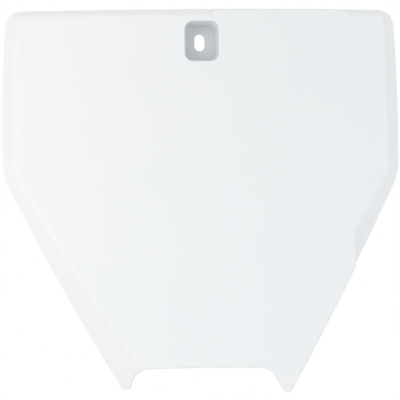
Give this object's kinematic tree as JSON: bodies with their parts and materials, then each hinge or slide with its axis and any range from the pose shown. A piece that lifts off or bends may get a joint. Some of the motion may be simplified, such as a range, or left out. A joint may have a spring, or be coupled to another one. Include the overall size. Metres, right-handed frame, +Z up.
{
  "type": "racing number board",
  "caption": "White moulded front number board for a motocross motorbike: crowned face, folded-back flange left open for a hose, recessed bolt pocket and claws for the mudguard.",
  "frame": {"origin": "centre of the bolt slot on the flat rear of the pocket, where it meets its bracket", "axes": "+Z up, +X to the right seen from the front, the front of the board faces -Y"},
  "size_m": [0.2502, 0.0245, 0.2407],
  "materials": {
    "white_plastic": "satin"
  },
  "bodies": {
    "root": {"number_plate": "white_plastic"}
  },
  "joints": []
}
